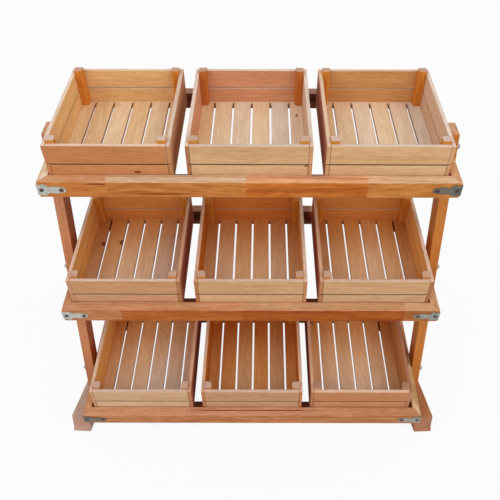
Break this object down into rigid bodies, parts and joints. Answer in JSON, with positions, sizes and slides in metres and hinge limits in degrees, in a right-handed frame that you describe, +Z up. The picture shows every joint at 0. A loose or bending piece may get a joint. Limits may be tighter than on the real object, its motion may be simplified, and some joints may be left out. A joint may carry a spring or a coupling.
{
  "type": "tiered display table",
  "caption": "Tiered wooden display table: upright posts on long feet carry tilting shelf frames that hold loose slatted crates of goods.",
  "frame": {"origin": "on the floor, below the middle of the table's overall box", "axes": "+X to the right as seen from the front, +Y to the back, +Z up; the front faces -Y"},
  "size_m": [1.3164, 0.4926, 1.2389],
  "materials": {
    "rail_wood": "oiled, laminated from short blocks",
    "batten_wood": "oiled",
    "post_wood": "oiled",
    "foot_wood": "oiled",
    "crate_wood": "planed and oiled",
    "crate_floor_wood": "planed and oiled",
    "galvanised_bracket": "galvanised, dull",
    "zinc_bolt": "bright zinc"
  },
  "bodies": {
    "stand": {"left_post": "post_wood", "left_foot": "foot_wood", "left_foot_bolt": "zinc_bolt", "left_bottom_pivot_bolt": "zinc_bolt", "left_middle_pivot_bolt": "zinc_bolt", "left_top_pivot_bolt": "zinc_bolt", "right_post": "post_wood", "right_foot": "foot_wood", "right_foot_bolt": "zinc_bolt", "right_bottom_pivot_bolt": "zinc_bolt", "right_middle_pivot_bolt": "zinc_bolt", "right_top_pivot_bolt": "zinc_bolt"},
    "bottom_shelf": {"bottom_shelf_front_rail": "rail_wood", "bottom_shelf_back_rail": "rail_wood", "bottom_shelf_left_rail": "rail_wood", "bottom_shelf_right_rail": "rail_wood", "bottom_shelf_front_batten": "batten_wood", "bottom_shelf_back_batten": "batten_wood", "bottom_shelf_left_front_bracket": "galvanised_bracket", "bottom_shelf_right_front_bracket": "galvanised_bracket", "bottom_shelf_right_back_bracket": "galvanised_bracket", "bottom_shelf_left_back_bracket": "galvanised_bracket"},
    "bottom_left_crate": {"bottom_left_crate_walls": "crate_wood", "bottom_left_crate_floor": "crate_floor_wood"},
    "bottom_middle_crate": {"bottom_middle_crate_walls": "crate_wood", "bottom_middle_crate_floor": "crate_floor_wood"},
    "bottom_right_crate": {"bottom_right_crate_walls": "crate_wood", "bottom_right_crate_floor": "crate_floor_wood"},
    "middle_shelf": {"middle_shelf_front_rail": "rail_wood", "middle_shelf_back_rail": "rail_wood", "middle_shelf_left_rail": "rail_wood", "middle_shelf_right_rail": "rail_wood", "middle_shelf_front_batten": "batten_wood", "middle_shelf_back_batten": "batten_wood", "middle_shelf_left_front_bracket": "galvanised_bracket", "middle_shelf_right_front_bracket": "galvanised_bracket", "middle_shelf_right_back_bracket": "galvanised_bracket", "middle_shelf_left_back_bracket": "galvanised_bracket"},
    "middle_left_crate": {"middle_left_crate_walls": "crate_wood", "middle_left_crate_floor": "crate_floor_wood"},
    "middle_middle_crate": {"middle_middle_crate_walls": "crate_wood", "middle_middle_crate_floor": "crate_floor_wood"},
    "middle_right_crate": {"middle_right_crate_walls": "crate_wood", "middle_right_crate_floor": "crate_floor_wood"},
    "top_shelf": {"top_shelf_front_rail": "rail_wood", "top_shelf_back_rail": "rail_wood", "top_shelf_left_rail": "rail_wood", "top_shelf_right_rail": "rail_wood", "top_shelf_front_batten": "batten_wood", "top_shelf_back_batten": "batten_wood", "top_shelf_left_front_bracket": "galvanised_bracket", "top_shelf_right_front_bracket": "galvanised_bracket", "top_shelf_right_back_bracket": "galvanised_bracket", "top_shelf_left_back_bracket": "galvanised_bracket"},
    "top_left_crate": {"top_left_crate_walls": "crate_wood", "top_left_crate_floor": "crate_floor_wood"},
    "top_middle_crate": {"top_middle_crate_walls": "crate_wood", "top_middle_crate_floor": "crate_floor_wood"},
    "top_right_crate": {"top_right_crate_walls": "crate_wood", "top_right_crate_floor": "crate_floor_wood"}
  },
  "joints": [
    {"name": "bottom_shelf_tilt", "type": "hinge", "parent": "stand", "child": "bottom_shelf", "pos_m": [0, -0.02003, 0.145], "axis": [1, 0, 0], "range_deg": [-16.5, 0]},
    {"name": "bottom_left_crate_lift", "type": "slide", "parent": "bottom_shelf", "child": "bottom_left_crate", "axis": [0, -0.284, 0.9588], "range_m": [0, 0.15]},
    {"name": "bottom_middle_crate_lift", "type": "slide", "parent": "bottom_shelf", "child": "bottom_middle_crate", "axis": [0, -0.284, 0.9588], "range_m": [0, 0.15]},
    {"name": "bottom_right_crate_lift", "type": "slide", "parent": "bottom_shelf", "child": "bottom_right_crate", "axis": [0, -0.284, 0.9588], "range_m": [0, 0.15]},
    {"name": "middle_shelf_tilt", "type": "hinge", "parent": "stand", "child": "middle_shelf", "pos_m": [0, -0.02003, 0.6], "axis": [1, 0, 0], "range_deg": [-16.5, 0]},
    {"name": "middle_left_crate_lift", "type": "slide", "parent": "middle_shelf", "child": "middle_left_crate", "axis": [0, -0.284, 0.9588], "range_m": [0, 0.15]},
    {"name": "middle_middle_crate_lift", "type": "slide", "parent": "middle_shelf", "child": "middle_middle_crate", "axis": [0, -0.284, 0.9588], "range_m": [0, 0.15]},
    {"name": "middle_right_crate_lift", "type": "slide", "parent": "middle_shelf", "child": "middle_right_crate", "axis": [0, -0.284, 0.9588], "range_m": [0, 0.15]},
    {"name": "top_shelf_tilt", "type": "hinge", "parent": "stand", "child": "top_shelf", "pos_m": [0, -0.02003, 1.037], "axis": [1, 0, 0], "range_deg": [-16.5, 0]},
    {"name": "top_left_crate_lift", "type": "slide", "parent": "top_shelf", "child": "top_left_crate", "axis": [0, -0.284, 0.9588], "range_m": [0, 0.15]},
    {"name": "top_middle_crate_lift", "type": "slide", "parent": "top_shelf", "child": "top_middle_crate", "axis": [0, -0.284, 0.9588], "range_m": [0, 0.15]},
    {"name": "top_right_crate_lift", "type": "slide", "parent": "top_shelf", "child": "top_right_crate", "axis": [0, -0.284, 0.9588], "range_m": [0, 0.15]}
  ]
}
